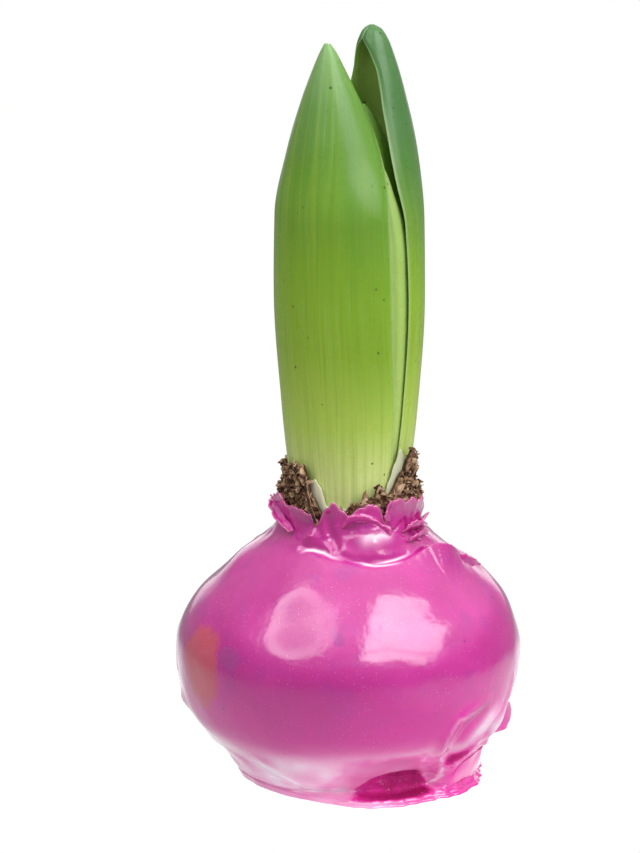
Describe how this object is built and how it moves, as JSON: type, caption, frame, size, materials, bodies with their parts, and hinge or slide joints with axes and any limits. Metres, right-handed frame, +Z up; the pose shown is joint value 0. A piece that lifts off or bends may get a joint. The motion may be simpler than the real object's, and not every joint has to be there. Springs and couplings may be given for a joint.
{
  "type": "waxed hyacinth bulb with leaf shoot",
  "caption": "Hyacinth bulb dipped in glossy wax with a torn collar and a set wax foot, its closed shoot of hooded leaves standing over a hidden flower bud.",
  "frame": {"origin": "on the surface that the waxed bulb stands on, below the middle of the bulb's bounding box", "axes": "+Z up along the shoot, -Y towards the front of the picture, +X towards its right"},
  "size_m": [0.0644, 0.0646, 0.1399],
  "materials": {
    "wax": "glossy magenta wax with a faint pearl speckle",
    "bulb_scale": "smooth cream flesh, pale green at the neck",
    "dry_tunic": "dry, brown and crumbly",
    "leaf_green": "waxy green leaf, paler at the base",
    "bud_green": "soft green unopened florets"
  },
  "bodies": {
    "root": {"wax_coat": "wax", "bulb": "bulb_scale", "tunic": "dry_tunic", "leaf_front": "leaf_green", "leaf_back": "leaf_green", "leaf_second": "leaf_green", "leaf_rear": "leaf_green", "leaf_inner": "leaf_green", "flower_bud": "bud_green"}
  },
  "joints": []
}
